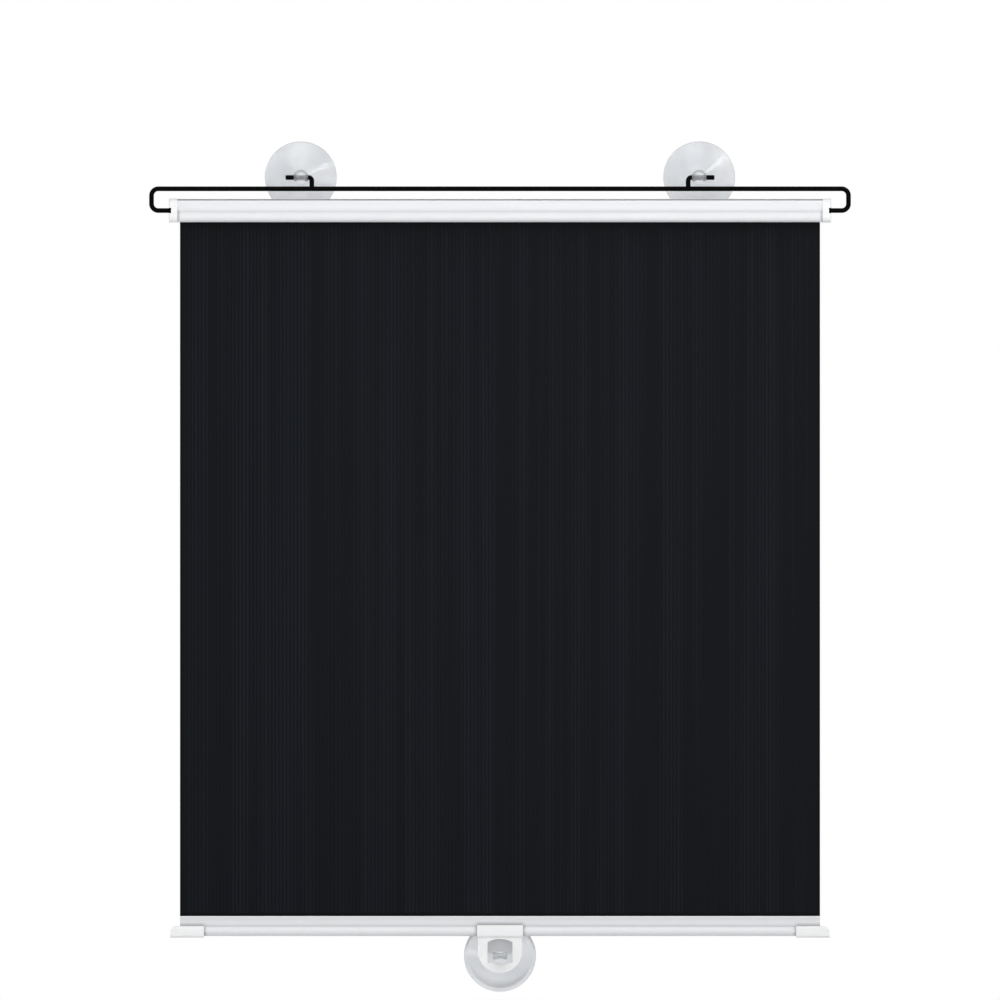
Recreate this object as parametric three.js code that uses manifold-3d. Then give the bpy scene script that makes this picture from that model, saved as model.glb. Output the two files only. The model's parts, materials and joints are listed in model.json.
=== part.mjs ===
// A retractable side window sunshade, drawn fully down and hung on the glass by three suction cups.
// Millimetres. +Z is up, +X is to the right for someone inside the car, +Y points at the glass.
// The origin lies on the glass, midway between the two upper cups at the height of their centres.

import * as THREE from "three";
import { mergeVertices } from "three/addons/utils/BufferGeometryUtils.js";
import Module from "manifold-3d";

// Clearances
const seatGap = 0.3;
const snugGap = 0.15;

// Hanger wire and its two hooks
const wireDiameter = 3;
const wireStandOff = 14.5;
const wireDropBelowCups = 7.05;
const wireHeight = 13.6;
const wireSideGap = 10.8;
const wireBendRadius = 4.2;
const hookBendRadius = 2;
const hookLegInset = 6.9;
const hookArmReach = 9.6;
const cupInset = 75.5;

// Suction cups
const cupDiameter = 45;
const cupLipWidth = 2;
const cupLipThickness = 0.9;
const cupHollowDepth = 5.2;
const cupDishDepth = 8.5;
const cupDishSag = 1.1;
const cupNeckRadius = 4.2;
const cupKnobRadius = 4.9;
const cupKnobFlatDepth = 18.2;

// Roller housing: a slotted extrusion with two bands on its front, its slot along the lower rear edge
const housingEndMargin = 1.6;
const housingHeight = 14.6;
const housingFront = 6.9;
const housingRear = 9.2;
const housingWall = 0.8;
const housingCornerRadius = 2.2;
const housingInnerFrontRadius = 2.2;
const housingSlotWidth = 5.3;
const housingLedge = 0.3;
const housingGrooveHeight = 0.6;
const housingGrooveDepth = 0.9;
const upperBandBulge = 1.25;
const upperBandCrest = 3.4;
const lowerBandTop = -2.6;
const lowerBandBulge = 0.15;
const lowerBandRounding = 4;

// End caps
const capThickness = 5.4;
const capOverhang = 0.25;
const capFrontRadius = 4;
const capLipDepth = 1;
const capNotchDepth = 1.4;
const capNotchHeight = 4.2;
const capWireHoleDepth = 3.6;
const capShaftHoleDepth = 2;

// Roller, its plugs, and the spring that winds it
const tubeDiameter = 6.8;
const tubeWall = 0.4;
const plugFlangeThickness = 0.8;
const plugLength = 12;
const shaftDiameter = 2;
const shaftLength = 92;
const idlerPinLength = 11;
const anchorDiameter = 5.4;
const anchorLength = 6;
const springWire = 0.5;
const springDiameter = 4.2;
const springTurns = 20;

// Shade
const shadeWidth = 400;
const visibleDrop = 433.65;
const filmWeb = 0.12;
const ribHeight = 0.1;
const ribPitch = 3.4;
const turnsLeftOnTube = 1.5;

// Bottom rail, its plugs and the rod in the hem
const railRear = 6.2;
const stripHeight = 6.2;
const stripThickness = 2.4;
const stripLipHeight = 1.1;
const stripLipThickness = 2.9;
const railSlit = 0.8;
const beadRadius = 3.15;
const beadWall = 0.95;
const hemRodDiameter = 3.2;
const plugSleeveLength = 15;
const plugNoseLength = 6;
const sleeveWall = 0.7;
const sleeveFrontRadius = 1.6;
const plugNoseTaper = 2.4;

// Pull tab
const tabShoulderWidth = 28.8;
const tabWidth = 27.5;
const tabThickness = 2.5;
const tabStandOff = 8.9;
const tabDropBelowRail = 23.1;
const tabWindowWidth = 15.6;
const tabWindowHeight = 15;
const tabWindowArch = 1.9;
const tabWindowCorner = 1;
const tabRim = 6.25;
const tabClipRise = 0.6;
const tabBevel = 0.4;

// Places that follow from the sizes
const wireRadius = wireDiameter / 2;
const cupX = shadeWidth / 2 - cupInset;
const barZ = -wireDropBelowCups;
const rollerZ = barZ - wireHeight;
const rollerY = -wireStandOff;
const housingEnd = shadeWidth / 2 + housingEndMargin;
const housingBottom = rollerZ - housingHeight / 2;
const capEnd = housingEnd + capThickness;
const tubeEnd = housingEnd - capLipDepth - seatGap - plugFlangeThickness - snugGap;
const turnsInner = tubeDiameter / 2 + snugGap / 2;
const filmThickness = filmWeb + ribHeight / 2;
const turnsOuter = turnsInner + turnsLeftOnTube * filmThickness;
const railY = rollerY + railRear;
const railTop = housingBottom - visibleDrop;
const beadZ = railTop - stripHeight - beadRadius;
const beadBore = beadRadius - beadWall;
const railEnd = shadeWidth / 2;
const tabBottom = beadZ - beadRadius - tabDropBelowRail;
const windowBottom = tabBottom + tabRim;
const lowerCupZ = windowBottom + seatGap + cupNeckRadius;

const wasm = await Module();
wasm.setup();

// A closed geometry as a solid that can be joined and cut.
function solid(geometry) {
  const bare = geometry.clone();
  bare.deleteAttribute("normal");
  bare.deleteAttribute("uv");
  const merged = mergeVertices(bare, 1e-4);
  return new wasm.Manifold(
    new wasm.Mesh({
      numProp: 3,
      vertProperties: merged.getAttribute("position").array,
      triVerts: new Uint32Array(merged.index.array),
    }),
  );
}

// The surface of a solid as a geometry.
function surface(body) {
  const mesh = body.getMesh();
  const geometry = new THREE.BufferGeometry();
  geometry.setAttribute("position", new THREE.BufferAttribute(mesh.vertProperties, 3));
  geometry.setIndex(new THREE.BufferAttribute(mesh.triVerts, 1));
  geometry.computeVertexNormals();
  return geometry;
}

// The same geometry on the other side of the plane X = 0, its faces still pointing out.
function mirrored(geometry) {
  const other = geometry.index ? geometry.clone() : mergeVertices(geometry);
  other.scale(-1, 1, 1);
  const corners = other.index.array;
  for (let i = 0; i < corners.length; i += 3) {
    const first = corners[i];
    corners[i] = corners[i + 1];
    corners[i + 1] = first;
  }
  other.computeVertexNormals();
  return other;
}

// A section drawn with its x as the part's Y and its y as the part's Z, run along X.
function alongX(section, from, to, curveSegments = 8) {
  const turned = new THREE.Matrix4().set(0, 0, 1, 0, 1, 0, 0, 0, 0, 1, 0, 0, 0, 0, 0, 1);
  return new THREE.ExtrudeGeometry(section, { depth: to - from, bevelEnabled: false, curveSegments })
    .applyMatrix4(turned)
    .translate(from, 0, 0);
}

// A round bar along X.
function barAlongX(radius, from, to, sides) {
  return new THREE.CylinderGeometry(radius, radius, to - from, sides)
    .rotateZ(Math.PI / 2)
    .translate((from + to) / 2, 0, 0);
}

// A stepped round body about the X axis, from [x, radius] pairs whose outer side runs towards +X.
function turnedAboutX(outline, sides) {
  const points = outline.map(([x, radius]) => new THREE.Vector2(radius, -x)).reverse();
  return new THREE.LatheGeometry(points, sides).rotateZ(Math.PI / 2);
}

// A regular polygon that stands for a round wire's section.
function roundSection(radius, sides) {
  const corners = [];
  for (let i = 0; i < sides; i += 1) {
    const angle = (2 * Math.PI * i) / sides;
    corners.push(new THREE.Vector2(radius * Math.cos(angle), radius * Math.sin(angle)));
  }
  return new THREE.Shape(corners);
}

// A path given by the places where a wire's section stands, each with its direction.
class WirePath extends THREE.Curve {
  constructor(stations) {
    super();
    this.stations = stations;
  }

  stationAt(share) {
    return this.stations[Math.round(share * (this.stations.length - 1))];
  }

  getPoint(share, target = new THREE.Vector3()) {
    return target.copy(this.stationAt(share).point);
  }

  getPointAt(share, target) {
    return this.getPoint(share, target);
  }

  getTangentAt(share, target = new THREE.Vector3()) {
    return target.copy(this.stationAt(share).direction);
  }
}

// Straight runs between corners, with a round bend at each corner.
function bentWire(corners, bendRadius, bendSteps) {
  const runs = corners.slice(1).map((corner, i) => corner.clone().sub(corners[i]).normalize());
  const stations = [{ point: corners[0], direction: runs[0] }];
  for (let i = 1; i < runs.length; i += 1) {
    const hinge = runs[i - 1].clone().cross(runs[i]).normalize();
    const turn = runs[i - 1].angleTo(runs[i]);
    const inward = hinge.clone().cross(runs[i - 1]);
    const centre = corners[i]
      .clone()
      .addScaledVector(runs[i - 1], -bendRadius * Math.tan(turn / 2))
      .addScaledVector(inward, bendRadius);
    for (let step = 0; step <= bendSteps; step += 1) {
      const angle = (turn * step) / bendSteps;
      const point = centre.clone().addScaledVector(inward.clone().applyAxisAngle(hinge, angle), -bendRadius);
      stations.push({ point, direction: runs[i - 1].clone().applyAxisAngle(hinge, angle) });
    }
  }
  stations.push({ point: corners.at(-1), direction: runs.at(-1) });
  return new WirePath(stations);
}

// A coil about the X axis.
function coil(radius, from, to, turns, stepsPerTurn) {
  const stations = [];
  const steps = turns * stepsPerTurn;
  for (let step = 0; step <= steps; step += 1) {
    const angle = (2 * Math.PI * step) / stepsPerTurn;
    const rise = (to - from) / (2 * Math.PI * turns);
    const along = from + ((to - from) * step) / steps;
    const point = new THREE.Vector3(along, radius * Math.cos(angle), radius * Math.sin(angle));
    const direction = new THREE.Vector3(rise, -radius * Math.sin(angle), radius * Math.cos(angle));
    stations.push({ point, direction: direction.normalize() });
  }
  return new WirePath(stations);
}

// A round section swept along a wire's path.
function sweptWire(path, radius, sides) {
  return new THREE.ExtrudeGeometry(roundSection(radius, sides), {
    steps: path.stations.length - 1,
    extrudePath: path,
    bevelEnabled: false,
  });
}

// The housing's section about the roller's axis. Down its front come a ledge, a groove, a round upper band
// that steps back, and a flatter lower band. The back is plain, and the bottom is open at the rear.
function housingSection() {
  const half = housingHeight / 2;
  const innerFront = housingWall - housingFront;
  const innerRear = housingRear - housingWall;
  const innerTop = half - housingWall;
  const innerRadius = housingCornerRadius - housingWall;
  const frontRadius = housingInnerFrontRadius;
  const crest = -housingFront - upperBandBulge;
  const bandTop = half - housingLedge - housingGrooveHeight;
  const bandEdge = -housingFront - upperBandBulge / 4;
  const grooveFloor = bandEdge + housingGrooveDepth;
  const stepMiddle = (upperBandCrest + lowerBandTop) / 2;
  const section = new THREE.Shape();
  section.moveTo(housingRear, -half);
  section.absarc(
    housingRear - housingCornerRadius,
    half - housingCornerRadius,
    housingCornerRadius,
    0,
    Math.PI / 2,
  );
  section.lineTo(-housingFront, half);
  section.lineTo(-housingFront, half - housingLedge);
  section.lineTo(grooveFloor, half - housingLedge);
  section.lineTo(grooveFloor, bandTop);
  section.lineTo(bandEdge, bandTop);
  section.quadraticCurveTo(crest, bandTop, crest, upperBandCrest);
  section.bezierCurveTo(
    crest,
    stepMiddle - housingCornerRadius,
    -housingFront,
    stepMiddle,
    -housingFront,
    lowerBandTop,
  );
  section.bezierCurveTo(
    -housingFront - lowerBandBulge,
    lowerBandTop - housingCornerRadius,
    -housingFront + lowerBandRounding / 8,
    -half,
    -housingFront + lowerBandRounding,
    -half,
  );
  section.lineTo(innerRear - housingSlotWidth, -half);
  section.lineTo(innerRear - housingSlotWidth, -innerTop);
  section.absarc(innerFront + frontRadius, frontRadius - innerTop, frontRadius, -Math.PI / 2, -Math.PI, true);
  section.absarc(innerFront + frontRadius, innerTop - frontRadius, frontRadius, Math.PI, Math.PI / 2, true);
  section.absarc(innerRear - innerRadius, innerTop - innerRadius, innerRadius, Math.PI / 2, 0, true);
  section.lineTo(innerRear, -half);
  return section;
}

// A rectangle with round corners, front and rear corners of their own radius.
function roundedRectangle(left, right, bottom, top, leftRadius, rightRadius) {
  const outline = new THREE.Shape();
  outline.absarc(left + leftRadius, bottom + leftRadius, leftRadius, Math.PI, 1.5 * Math.PI);
  outline.absarc(right - rightRadius, bottom + rightRadius, rightRadius, -Math.PI / 2, 0);
  outline.absarc(right - rightRadius, top - rightRadius, rightRadius, 0, Math.PI / 2);
  outline.absarc(left + leftRadius, top - leftRadius, leftRadius, Math.PI / 2, Math.PI);
  return outline;
}

// The right end cap about the roller's axis: a plate, a lip inside the housing, a seat for the
// wire's end in a notch outside and a seat for the roller's pin inside.
function endCap() {
  const half = housingHeight / 2 + capOverhang;
  const plate = solid(
    alongX(
      roundedRectangle(
        -(housingFront + upperBandBulge + capOverhang),
        housingRear + capOverhang,
        -half,
        half,
        capFrontRadius,
        housingCornerRadius + capOverhang,
      ),
      housingEnd,
      capEnd,
    ),
  );
  const inset = housingWall + seatGap;
  const lip = solid(
    alongX(
      roundedRectangle(
        inset - housingFront,
        housingRear - inset,
        inset - housingHeight / 2,
        housingHeight / 2 - inset,
        housingInnerFrontRadius,
        housingCornerRadius - housingWall,
      ),
      housingEnd - capLipDepth,
      housingEnd + capLipDepth,
    ),
  );
  const notch = solid(
    new THREE.BoxGeometry(2 * capNotchDepth, 4 * housingRear, capNotchHeight).translate(
      capEnd,
      -2 * housingRear + wireRadius + seatGap,
      0,
    ),
  );
  const wireHole = solid(barAlongX(wireRadius + seatGap, capEnd - capWireHoleDepth, capEnd + 1, 16));
  const shaftHole = solid(
    barAlongX(
      shaftDiameter / 2 + snugGap,
      housingEnd - capLipDepth - 1,
      housingEnd - capLipDepth + capShaftHoleDepth,
      16,
    ),
  );
  return surface(plate.add(lip).subtract(notch).subtract(wireHole).subtract(shaftHole));
}

// The hanger: one long bar above the housing, turned down and back in at each end to enter the caps.
function hangerWire() {
  const side = capEnd + wireSideGap;
  const tip = capEnd - capWireHoleDepth + seatGap;
  const corners = [
    new THREE.Vector3(-tip, rollerY, rollerZ),
    new THREE.Vector3(-side, rollerY, rollerZ),
    new THREE.Vector3(-side, rollerY, barZ),
    new THREE.Vector3(side, rollerY, barZ),
    new THREE.Vector3(side, rollerY, rollerZ),
    new THREE.Vector3(tip, rollerY, rollerZ),
  ];
  return sweptWire(bentWire(corners, wireBendRadius, 5), wireRadius, 12);
}

// The right hook about its cup's centre: a leg up from the bar and an arm outwards through the knob.
// The leg's foot is mitred round the bar that it is welded to.
function hook() {
  const corners = [
    new THREE.Vector3(-hookLegInset, rollerY, barZ),
    new THREE.Vector3(-hookLegInset, rollerY, 0),
    new THREE.Vector3(hookArmReach, rollerY, 0),
  ];
  const bent = solid(sweptWire(bentWire(corners, hookBendRadius, 4), wireRadius, 12));
  const bar = solid(
    barAlongX(wireRadius + seatGap, -hookLegInset - wireDiameter, -hookLegInset + wireDiameter, 24).translate(
      0,
      rollerY,
      barZ,
    ),
  );
  return surface(bent.subtract(bar));
}

// A suction cup about the centre of its lip: lip on the glass, dish, neck and a ball-shaped knob
// with a cross hole for the hook's arm.
function suctionCup() {
  const lipOuter = cupDiameter / 2;
  const lipInner = lipOuter - cupLipWidth;
  const knobStart = Math.asin(cupNeckRadius / cupKnobRadius);
  const knobEnd = Math.acos((wireStandOff - cupKnobFlatDepth) / cupKnobRadius);
  const outline = new THREE.Path();
  outline.moveTo(0, -cupHollowDepth);
  outline.quadraticCurveTo(lipInner / 2, -cupHollowDepth, lipInner, 0);
  outline.lineTo(lipOuter, 0);
  outline.lineTo(lipOuter, -cupLipThickness);
  outline.quadraticCurveTo(
    lipInner / 2,
    cupHollowDepth / 2 + cupDishSag - cupDishDepth,
    cupNeckRadius,
    -cupDishDepth,
  );
  outline.absarc(0, -wireStandOff, cupKnobRadius, Math.PI / 2 - knobStart, Math.PI / 2 - knobEnd, true);
  outline.lineTo(0, -cupKnobFlatDepth);
  const profile = outline.getPoints(5);
  profile.reverse();
  const cup = solid(new THREE.LatheGeometry(profile, 32));
  const hole = solid(
    barAlongX(wireRadius + seatGap, -lipOuter, lipOuter, 12).translate(0, -wireStandOff, 0),
  );
  return surface(cup.subtract(hole));
}

// A round tube along X.
function rollerTube() {
  const outer = solid(barAlongX(tubeDiameter / 2, -tubeEnd, tubeEnd, 24));
  const bore = solid(barAlongX(tubeDiameter / 2 - tubeWall, -tubeEnd - 1, tubeEnd + 1, 24));
  return surface(outer.subtract(bore));
}

// The turns of shade that never leave the tube, as one sleeve with the last turn's step where the shade leaves it.
function fabricTurns() {
  const section = new THREE.Shape();
  const sides = 32;
  for (let i = 0; i <= sides; i += 1) {
    const angle = (2 * Math.PI * i) / sides;
    const radius = turnsOuter - (filmThickness * i) / sides;
    section[i === 0 ? "moveTo" : "lineTo"](radius * Math.cos(angle), radius * Math.sin(angle));
  }
  section.closePath();
  const sleeve = solid(alongX(section, -railEnd, railEnd));
  const bore = solid(barAlongX(turnsInner, -railEnd - 1, railEnd + 1, 24));
  return surface(sleeve.subtract(bore));
}

// The right roller plug: a flange against the tube's end and a body inside it, bored for a fixed pin.
function rollerPlug() {
  const body = tubeDiameter / 2 - tubeWall - snugGap;
  const bore = shaftDiameter / 2 + snugGap;
  const outline = [
    [tubeEnd - plugLength, bore],
    [tubeEnd - plugLength, body],
    [tubeEnd, body],
    [tubeEnd, tubeDiameter / 2],
    [tubeEnd + plugFlangeThickness, tubeDiameter / 2],
    [tubeEnd + plugFlangeThickness, bore],
    [tubeEnd - plugLength, bore],
  ];
  return turnedAboutX(outline, 24);
}

// The spring's fixed end: a collar on the end of the shaft, open towards the left cap.
function springAnchor(from, to, shaftTip) {
  const bore = shaftDiameter / 2 + snugGap;
  return turnedAboutX(
    [
      [shaftTip + snugGap, 0],
      [shaftTip + snugGap, bore],
      [from, bore],
      [from, anchorDiameter / 2],
      [to, anchorDiameter / 2],
      [to, 0],
    ],
    24,
  );
}

// The shade: a thin web with upright ribs on its front, hung from the back of the roll and
// leaning a little to reach the rail, where its hem ends just above the rod.
function shadeFabric() {
  const bottom = beadZ + hemRodDiameter / 2 + seatGap;
  const top = rollerZ;
  const half = shadeWidth / 2;
  const ribs = Math.round(shadeWidth / ribPitch);
  const back = (filmWeb + ribHeight) / 2;
  const section = new THREE.Shape();
  section.moveTo(-half, back);
  section.lineTo(-half, back - filmWeb);
  for (let i = 0; i < ribs; i += 1) {
    section.lineTo(-half + ((i + 0.5) * shadeWidth) / ribs, back - filmWeb - ribHeight);
    section.lineTo(-half + ((i + 1) * shadeWidth) / ribs, back - filmWeb);
  }
  section.lineTo(half, back);
  const leaving = turnsOuter + snugGap + back;
  const lean = (leaving - railRear) / (top - bottom);
  const shear = new THREE.Matrix4().set(1, 0, 0, 0, 0, 1, lean, railY, 0, 0, 1, bottom, 0, 0, 0, 1);
  return new THREE.ExtrudeGeometry(section, { depth: top - bottom, bevelEnabled: false }).applyMatrix4(shear);
}

// The outside of the rail's section, grown by a clearance where another piece closes round it.
function railOutline(grown) {
  const radius = beadRadius + grown;
  const strip = stripThickness / 2 + grown;
  const meet = Math.asin(strip / radius);
  const outline = new THREE.Shape();
  outline.moveTo(railY + strip, railTop);
  outline.absarc(railY, beadZ, radius, Math.PI / 2 - meet, meet - 1.5 * Math.PI, true);
  outline.lineTo(railY - strip, railTop);
  return outline;
}

// The rail: two lips that hold the shade between them, above a hollow bead that holds the hem's rod.
function bottomRail() {
  const strip = stripThickness / 2;
  const lip = stripLipThickness / 2;
  const slit = railSlit / 2;
  const meet = Math.asin(strip / beadRadius);
  const mouth = Math.asin(slit / beadBore);
  const section = new THREE.Shape();
  section.moveTo(railY + slit, railTop);
  section.lineTo(railY + lip, railTop);
  section.lineTo(railY + lip, railTop - stripLipHeight);
  section.lineTo(railY + strip, railTop - stripLipHeight - (lip - strip));
  section.absarc(railY, beadZ, beadRadius, Math.PI / 2 - meet, meet - 1.5 * Math.PI, true);
  section.lineTo(railY - strip, railTop - stripLipHeight - (lip - strip));
  section.lineTo(railY - lip, railTop - stripLipHeight);
  section.lineTo(railY - lip, railTop);
  section.lineTo(railY - slit, railTop);
  section.absarc(railY, beadZ, beadBore, Math.PI / 2 + mouth, 2.5 * Math.PI - mouth, false);
  return alongX(section, -railEnd, railEnd, 14);
}

// The right rail plug: a sleeve round the bead's end, open above for the strip, and a nose past the rail's end
// with its upper outer corner cut back.
function railPlug() {
  const outer = beadRadius + seatGap + sleeveWall;
  const top = beadZ + beadRadius;
  const body = solid(
    alongX(
      roundedRectangle(
        railY - outer,
        railY + outer,
        beadZ - outer,
        top,
        sleeveFrontRadius,
        sleeveFrontRadius,
      ),
      railEnd - plugSleeveLength,
      railEnd + plugNoseLength,
    ),
  );
  const rail = solid(alongX(railOutline(seatGap), 0, railEnd + seatGap, 10));
  const cut = new THREE.Shape();
  cut.moveTo(railEnd + plugNoseLength - plugNoseTaper, top + 1);
  cut.lineTo(railEnd + plugNoseLength - plugNoseTaper, top);
  cut.lineTo(railEnd + plugNoseLength, top - plugNoseTaper);
  cut.lineTo(railEnd + plugNoseLength + 1, top - plugNoseTaper);
  cut.lineTo(railEnd + plugNoseLength + 1, top + 1);
  const corner = solid(
    new THREE.ExtrudeGeometry(cut, { depth: 4 * outer, bevelEnabled: false })
      .rotateX(Math.PI / 2)
      .translate(0, railY + 2 * outer, 0),
  );
  return surface(body.subtract(rail).subtract(corner));
}

// The pull tab: a clip round the rail's bead and a D-shaped plate below it, with an arched window
// whose bottom edge hangs on the lower cup's neck.
function pullTab() {
  const clipOuter = beadRadius + seatGap + sleeveWall;
  const clipTop = beadZ + beadRadius + tabClipRise;
  const clipRearRadius = (clipTop - beadZ + clipOuter) / 2 - tabBevel / 4;
  const clip = solid(
    alongX(
      roundedRectangle(
        railY - clipOuter,
        railY + clipOuter,
        beadZ - clipOuter,
        clipTop,
        sleeveFrontRadius,
        clipRearRadius,
      ),
      -tabShoulderWidth / 2,
      tabShoulderWidth / 2,
    ),
  );
  const rail = solid(alongX(railOutline(seatGap), -railEnd, railEnd, 10));
  const half = tabWidth / 2 - tabBevel;
  const plateTop = beadZ - beadRadius - seatGap - tabBevel;
  const roundCentre = tabBottom + tabWidth / 2;
  const plate = new THREE.Shape();
  plate.moveTo(-half, plateTop);
  plate.absarc(0, roundCentre, half, Math.PI, 2 * Math.PI);
  plate.lineTo(half, plateTop);
  const side = tabWindowWidth / 2;
  const low = windowBottom;
  const springing = windowBottom + tabWindowHeight - tabWindowArch;
  const window = new THREE.Shape();
  window.absarc(tabWindowCorner - side, low + tabWindowCorner, tabWindowCorner, Math.PI, 1.5 * Math.PI);
  window.absarc(side - tabWindowCorner, low + tabWindowCorner, tabWindowCorner, -Math.PI / 2, 0);
  window.lineTo(side, springing);
  window.quadraticCurveTo(0, springing + 2 * tabWindowArch, -side, springing);
  const blade = solid(
    new THREE.ExtrudeGeometry(plate, {
      depth: tabThickness - 2 * tabBevel,
      bevelThickness: tabBevel,
      bevelSize: tabBevel,
      bevelSegments: 1,
      curveSegments: 20,
    })
      .rotateX(Math.PI / 2)
      .translate(0, -tabStandOff - tabBevel, 0),
  );
  const opening = solid(
    new THREE.ExtrudeGeometry(window, { depth: 3 * tabThickness, bevelEnabled: false, curveSegments: 8 })
      .rotateX(Math.PI / 2)
      .translate(0, tabThickness - tabStandOff, 0),
  );
  return surface(clip.add(blade).subtract(opening).subtract(rail));
}

function material(color, roughness, metalness, more = {}) {
  return new THREE.MeshStandardMaterial({ color, roughness, metalness, ...more });
}

const finishes = {
  whiteExtrusion: () => material(0xf1f2f6, 0.35, 0),
  whiteMoulding: () => material(0xeceef2, 0.45, 0),
  blackWire: () => material(0x0b0b0e, 0.3, 0.2),
  clearPlastic: () => material(0xeef1f6, 0.12, 0, { transparent: true, opacity: 0.5 }),
  shade: () => material(0x161a20, 0.85, 0),
  zincSteel: () => material(0xb4b7bc, 0.35, 1),
  springSteel: () => material(0x8a8d92, 0.3, 1),
};

function piece(name, geometry, finish) {
  const mesh = new THREE.Mesh(geometry, finish());
  mesh.name = name;
  return mesh;
}

// Everything that turns on or surrounds the roller's axis.
function rollerUnit() {
  const unit = new THREE.Group();
  unit.position.set(0, rollerY, rollerZ);
  const cap = endCap();
  const plug = rollerPlug();
  const shaftStart = -(housingEnd - capLipDepth + capShaftHoleDepth - snugGap);
  const shaftTip = shaftStart + shaftLength;
  const pinEnd = housingEnd - capLipDepth + capShaftHoleDepth - snugGap;
  const anchorFrom = shaftTip + seatGap - anchorLength / 2;
  const anchorTo = anchorFrom + anchorLength;
  const springFrom = -(tubeEnd - plugLength) + seatGap + springWire / 2;
  const springTo = anchorFrom - seatGap - springWire / 2;
  const springPath = coil(springDiameter / 2, springFrom, springTo, springTurns, 8);
  unit.add(
    piece("housing", alongX(housingSection(), -housingEnd, housingEnd), finishes.whiteExtrusion),
    piece("end_cap_right", cap, finishes.whiteMoulding),
    piece("end_cap_left", mirrored(cap), finishes.whiteMoulding),
    piece("roller_tube", rollerTube(), finishes.zincSteel),
    piece("fabric_turns", fabricTurns(), finishes.shade),
    piece("idler_plug", plug, finishes.whiteMoulding),
    piece("spring_plug", mirrored(plug), finishes.whiteMoulding),
    piece("spring_shaft", barAlongX(shaftDiameter / 2, shaftStart, shaftTip, 12), finishes.zincSteel),
    piece("spring_anchor", springAnchor(anchorFrom, anchorTo, shaftTip), finishes.whiteMoulding),
    piece("torsion_spring", sweptWire(springPath, springWire / 2, 5), finishes.springSteel),
    piece("idler_pin", barAlongX(shaftDiameter / 2, pinEnd - idlerPinLength, pinEnd, 12), finishes.zincSteel),
  );
  return unit;
}

// The wire hanger with a hook and a cup on each side.
function hanger() {
  const group = new THREE.Group();
  const hookShape = hook();
  const cupShape = suctionCup();
  const sides = [
    ["right", cupX, hookShape],
    ["left", -cupX, mirrored(hookShape)],
  ];
  group.add(piece("hanger_wire", hangerWire(), finishes.blackWire));
  for (const [side, x, shape] of sides) {
    const hookMesh = piece(`hook_${side}`, shape, finishes.blackWire);
    const cupMesh = piece(`suction_cup_${side}`, cupShape, finishes.clearPlastic);
    hookMesh.position.x = x;
    cupMesh.position.x = x;
    group.add(hookMesh, cupMesh);
  }
  return group;
}

// The bar at the shade's lower end, with its tab held on the lower cup.
function bottomBar() {
  const group = new THREE.Group();
  const plug = railPlug();
  const rod = barAlongX(hemRodDiameter / 2, seatGap - railEnd, railEnd - seatGap, 12).translate(0, railY, beadZ);
  const cup = piece("suction_cup_lower", suctionCup(), finishes.clearPlastic);
  cup.position.z = lowerCupZ;
  group.add(
    piece("bottom_rail", bottomRail(), finishes.whiteExtrusion),
    piece("hem_rod", rod, finishes.whiteMoulding),
    piece("rail_plug_right", plug, finishes.whiteMoulding),
    piece("rail_plug_left", mirrored(plug), finishes.whiteMoulding),
    piece("pull_tab", pullTab(), finishes.whiteMoulding),
    cup,
  );
  return group;
}

const sunshade = new THREE.Group();
sunshade.add(hanger(), rollerUnit(), piece("shade_fabric", shadeFabric(), finishes.shade), bottomBar());

export default sunshade;
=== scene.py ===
# Looks of a retractable side window sunshade, drawn fully down and hung on the glass by suction cups.
import json
import math

import bmesh
import bpy
from mathutils import Matrix, Vector


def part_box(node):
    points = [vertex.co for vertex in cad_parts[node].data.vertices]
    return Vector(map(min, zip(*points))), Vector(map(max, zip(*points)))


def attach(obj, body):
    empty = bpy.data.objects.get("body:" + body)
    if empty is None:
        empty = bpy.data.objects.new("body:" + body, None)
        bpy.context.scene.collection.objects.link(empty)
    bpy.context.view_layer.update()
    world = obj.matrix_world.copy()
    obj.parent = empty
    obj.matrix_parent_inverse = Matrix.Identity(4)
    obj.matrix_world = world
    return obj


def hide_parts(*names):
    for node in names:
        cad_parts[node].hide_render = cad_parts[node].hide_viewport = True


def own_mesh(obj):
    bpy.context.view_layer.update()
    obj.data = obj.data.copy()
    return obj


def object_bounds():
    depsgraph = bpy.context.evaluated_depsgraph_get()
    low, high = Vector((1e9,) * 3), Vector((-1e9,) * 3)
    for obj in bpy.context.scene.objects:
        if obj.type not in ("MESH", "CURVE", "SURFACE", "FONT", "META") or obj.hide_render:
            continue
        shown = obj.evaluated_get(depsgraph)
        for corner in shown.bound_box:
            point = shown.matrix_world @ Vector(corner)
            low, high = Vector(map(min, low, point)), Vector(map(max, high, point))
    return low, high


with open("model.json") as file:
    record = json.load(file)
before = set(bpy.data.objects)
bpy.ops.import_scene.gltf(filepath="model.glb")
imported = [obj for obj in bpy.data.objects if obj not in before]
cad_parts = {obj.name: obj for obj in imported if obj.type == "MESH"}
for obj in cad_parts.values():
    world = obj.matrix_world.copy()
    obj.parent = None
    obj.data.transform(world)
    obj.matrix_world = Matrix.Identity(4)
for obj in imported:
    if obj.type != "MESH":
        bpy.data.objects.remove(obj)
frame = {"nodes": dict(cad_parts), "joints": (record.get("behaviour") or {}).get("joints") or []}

MM = 0.001
cad_low, cad_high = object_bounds()
joints = {joint["name"]: joint for joint in frame["joints"]}


def mm(point):
    """A frame point in millimetres."""
    return [value / MM for value in point]


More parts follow.
